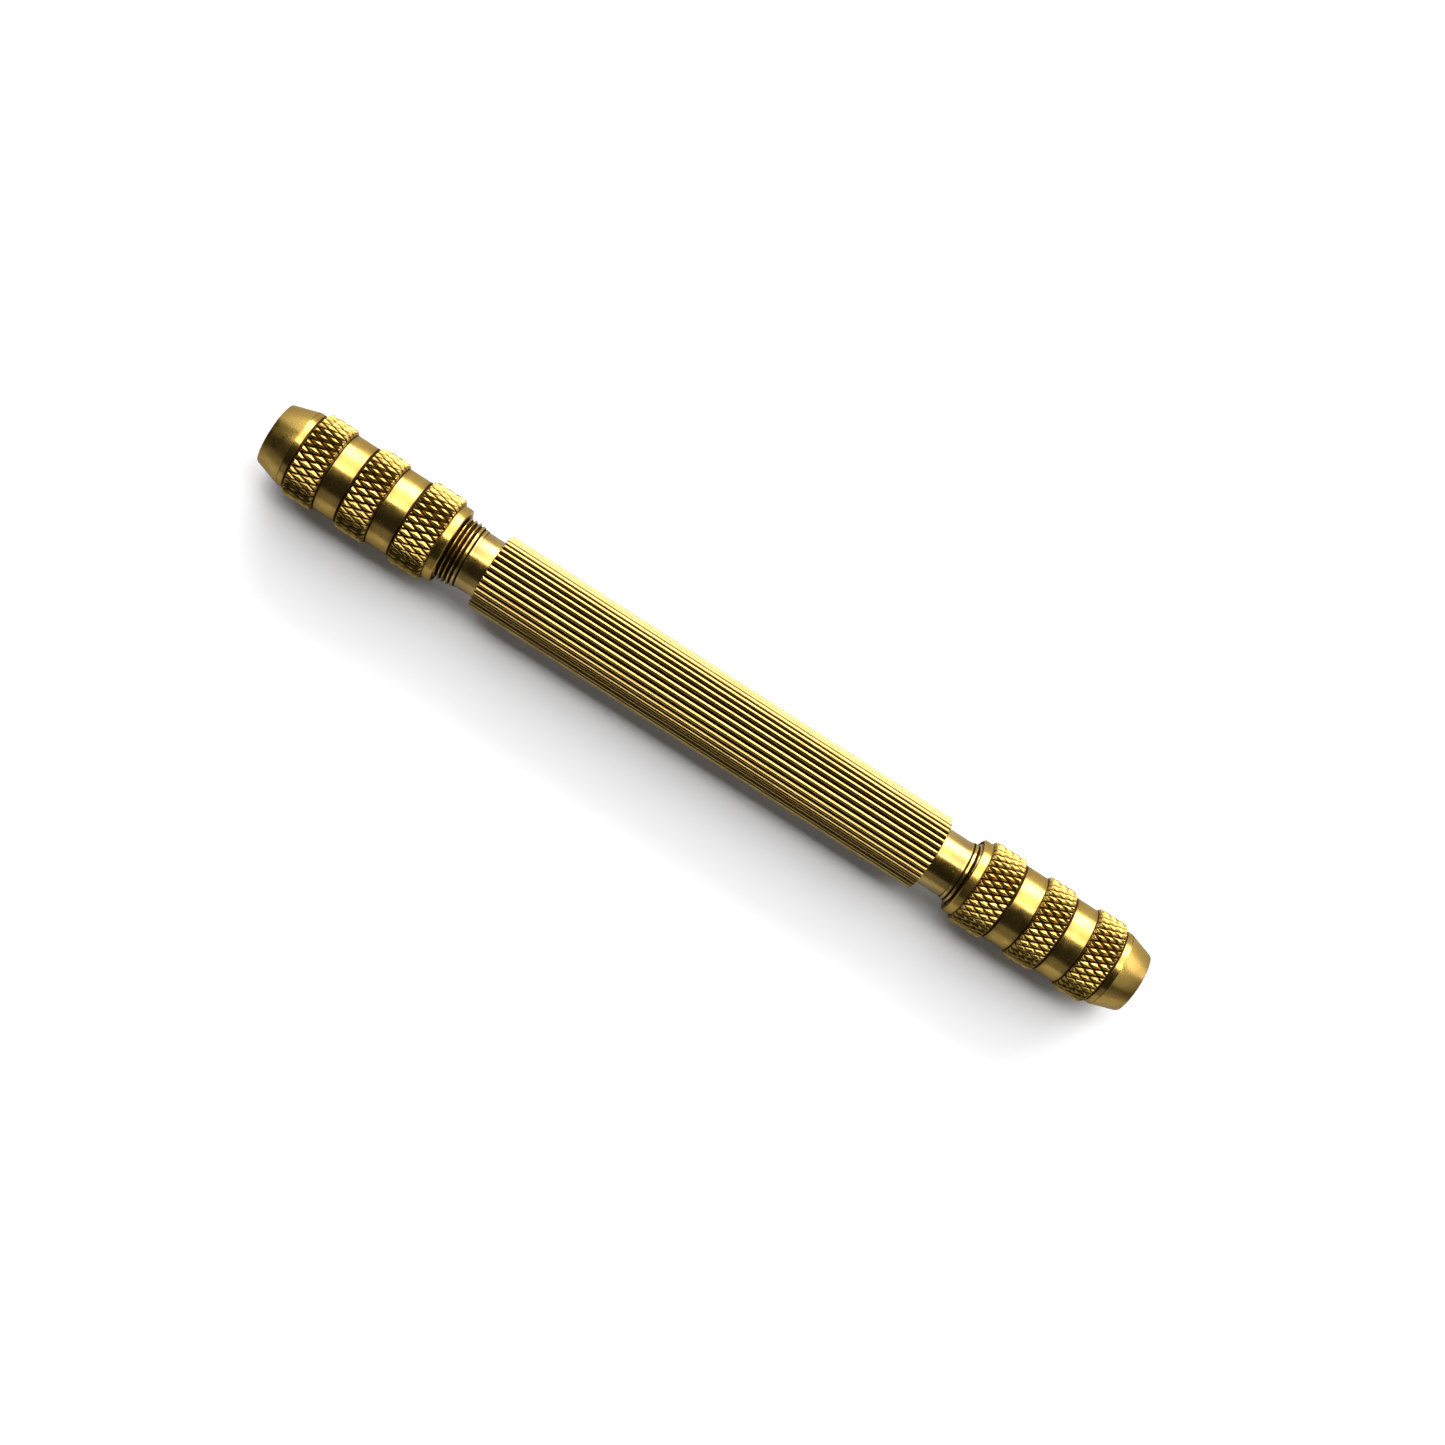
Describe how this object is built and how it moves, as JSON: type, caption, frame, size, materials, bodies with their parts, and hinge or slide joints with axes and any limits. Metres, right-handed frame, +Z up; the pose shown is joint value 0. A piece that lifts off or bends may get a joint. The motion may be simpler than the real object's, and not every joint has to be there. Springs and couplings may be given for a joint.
{
  "type": "pin vise drill",
  "caption": "Double-ended pin vise: fluted brass handle with a knurled screw cap and a split collet at each end, for small hand drilling.",
  "frame": {"origin": "middle of the tool's length, on its axis", "axes": "+X along the tool's axis towards the right cap, +Z up with the tool lying down, +Y across it"},
  "size_m": [0.103, 0.0094, 0.0094],
  "materials": {
    "brass": "turned, knurled and lightly tarnished",
    "collet_steel": "hardened and ground"
  },
  "bodies": {
    "handle": {"handle": "brass"},
    "left_collet": {"left_collet": "collet_steel"},
    "right_collet": {"right_collet": "collet_steel"},
    "left_cap": {"left_cap": "brass"},
    "right_cap": {"right_cap": "brass"}
  },
  "joints": [
    {"name": "left_collet_travel", "type": "slide", "parent": "handle", "child": "left_collet", "axis": [-1, 0, 0], "range_m": [-0.00084, 0.00486]},
    {"name": "left_cap_screw", "type": "hinge", "parent": "left_collet", "child": "left_cap", "pos_m": [-0.041, 0, 0], "axis": [-1, 0, 0], "range_deg": [-605.8, 3500.2]},
    {"name": "right_collet_travel", "type": "slide", "parent": "handle", "child": "right_collet", "axis": [1, 0, 0], "range_m": [-0.00026, 0.00544]},
    {"name": "right_cap_screw", "type": "hinge", "parent": "right_collet", "child": "right_cap", "pos_m": [0.041, 0, 0], "axis": [1, 0, 0], "range_deg": [-188.2, 3917.8]}
  ],
  "couplings": [
    {"joint": "left_cap_screw", "follows": "left_collet_travel", "rad_per_m": 12566},
    {"joint": "right_cap_screw", "follows": "right_collet_travel", "rad_per_m": 12566}
  ]
}
